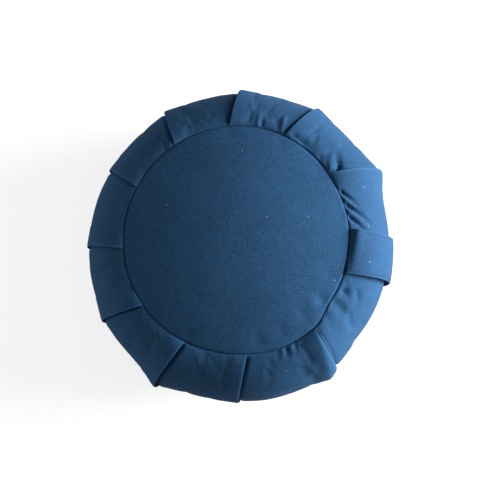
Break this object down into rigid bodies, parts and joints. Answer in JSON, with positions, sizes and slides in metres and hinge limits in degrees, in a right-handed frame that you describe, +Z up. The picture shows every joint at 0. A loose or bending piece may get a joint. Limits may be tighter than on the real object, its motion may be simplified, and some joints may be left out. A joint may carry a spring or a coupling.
{
  "type": "floor cushion",
  "caption": "Round pleated floor cushion with a crowned top, a knife-pleated side band, a carry strap, a hidden side zip and a loose hull fill in a liner.",
  "frame": {"origin": "centre of the flat base where the cushion rests on the floor", "axes": "+Z up, away from the floor; +X from the centre towards the carry strap and the zip behind it; +Y to the left of the strap when looking from the centre towards it"},
  "size_m": [0.3534, 0.3438, 0.15],
  "materials": {
    "canvas": "plain woven cotton canvas, indigo blue",
    "thread": "matching polyester thread",
    "zip_tape": "woven polyester tape",
    "zip_coil": "dyed nylon coil",
    "zip_metal": "dull nickel",
    "liner": "unbleached calico",
    "liner_thread": "cotton thread",
    "hulls": "dry buckwheat hulls"
  },
  "bodies": {
    "cushion": {"top_panel": "canvas", "bottom_panel": "canvas", "side_band": "canvas", "handle_upper_leg": "canvas", "handle_lower_leg": "canvas", "top_seam_thread": "thread", "bottom_seam_thread": "thread", "closing_seam_thread": "thread", "zip_stitching": "thread", "zip_tape_left": "zip_tape", "zip_tape_right": "zip_tape", "zip_coil_left": "zip_coil", "zip_coil_right": "zip_coil", "zip_top_stops": "zip_metal", "zip_bottom_stop": "zip_metal", "liner_top_panel": "liner", "liner_bottom_panel": "liner", "liner_side_panel": "liner", "liner_top_seam_thread": "liner_thread", "liner_bottom_seam_thread": "liner_thread", "hull_fill": "hulls"},
    "grip": {"handle_grip": "canvas", "handle_edge_stitching": "thread"},
    "slider": {"zip_slider": "zip_metal"},
    "pull": {"zip_pull_tab": "zip_metal"}
  },
  "joints": [
    {"name": "handle_pull", "type": "slide", "parent": "cushion", "child": "grip", "axis": [1, 0, 0], "range_m": [0, 0.012], "deforming": ["handle_upper_leg", "handle_lower_leg"]},
    {"name": "zip_travel", "type": "hinge", "parent": "cushion", "child": "slider", "pos_m": [0.10916, 0, 0.071], "axis": [0, 1, 0], "range_deg": [0, 77.4]},
    {"name": "pull_flip", "type": "hinge", "parent": "slider", "child": "pull", "pos_m": [0.15684, 0, 0.11175], "axis": [0, -1, 0], "range_deg": [0, 9]}
  ]
}
